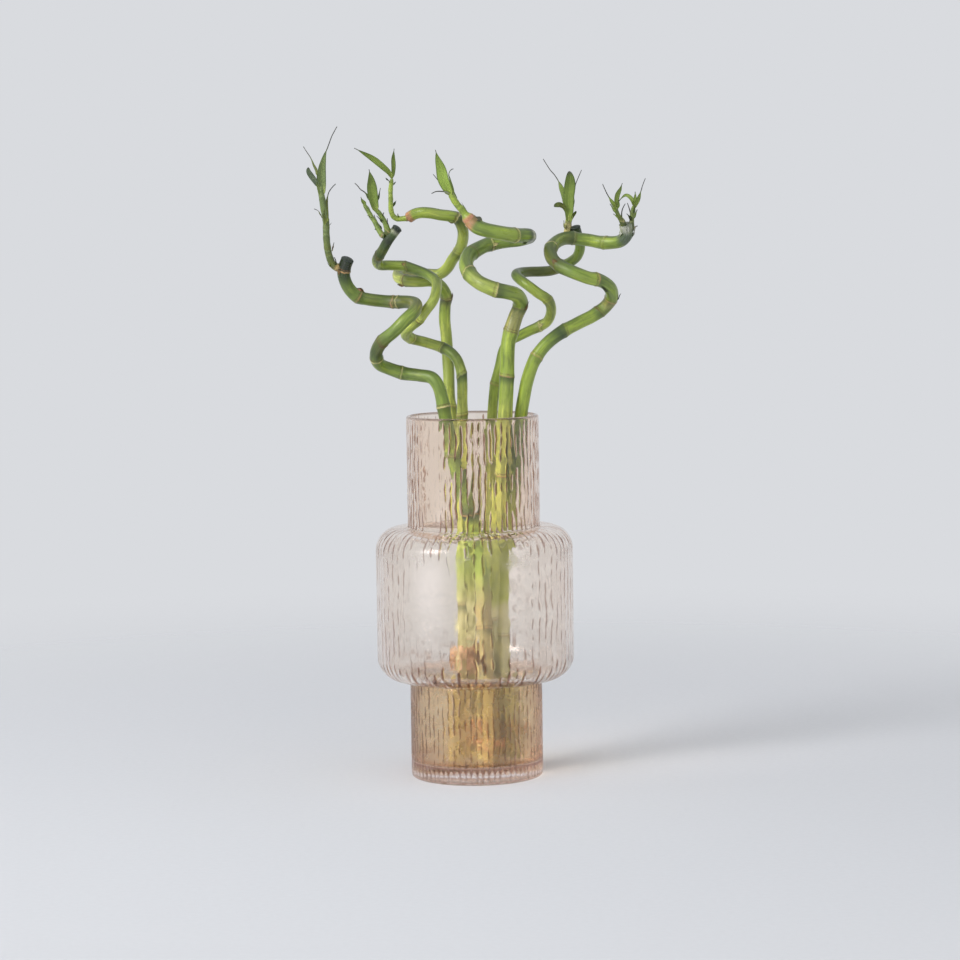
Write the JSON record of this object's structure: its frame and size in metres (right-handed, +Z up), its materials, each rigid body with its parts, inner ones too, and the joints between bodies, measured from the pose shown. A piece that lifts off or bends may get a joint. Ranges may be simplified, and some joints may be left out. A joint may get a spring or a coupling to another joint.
{
  "type": "lucky bamboo in a glass vase",
  "caption": "Lucky bamboo: green canes bent in open spirals with small leafy shoots, standing in water in a ribbed, pink-tinted glass vase with a wide belly.",
  "frame": {"origin": "centre of the vase's underside, on the surface that it stands on", "axes": "+Z up; -Y is the front that the picture shows, with +X to its right"},
  "size_m": [0.259, 0.1533, 0.5005],
  "materials": {
    "glass": "clear pressed glass with a pale pink tint and wavy upright ribs",
    "water": "still clear water",
    "cane": "smooth waxy green skin, paler in the vase, with thin tan joint rings",
    "shoot": "soft satin green leaves and stems",
    "root": "matt orange-brown roots",
    "wax": "dark green sealing wax"
  },
  "bodies": {
    "root": {"vase": "glass", "water": "water", "cane_front_left": "cane", "cane_left": "cane", "cane_rear_left": "cane", "cane_centre": "cane", "cane_rear_right": "cane", "cane_front_right": "cane", "wax_front_left": "wax", "wax_left": "wax", "wax_rear_right": "wax", "shoot_front_left": "shoot", "shoot_left_tall": "shoot", "shoot_left_short": "shoot", "shoot_rear_left": "shoot", "shoot_centre": "shoot", "shoot_rear_right": "shoot", "shoot_front_right_inner": "shoot", "shoot_front_right_outer": "shoot"}
  },
  "joints": []
}
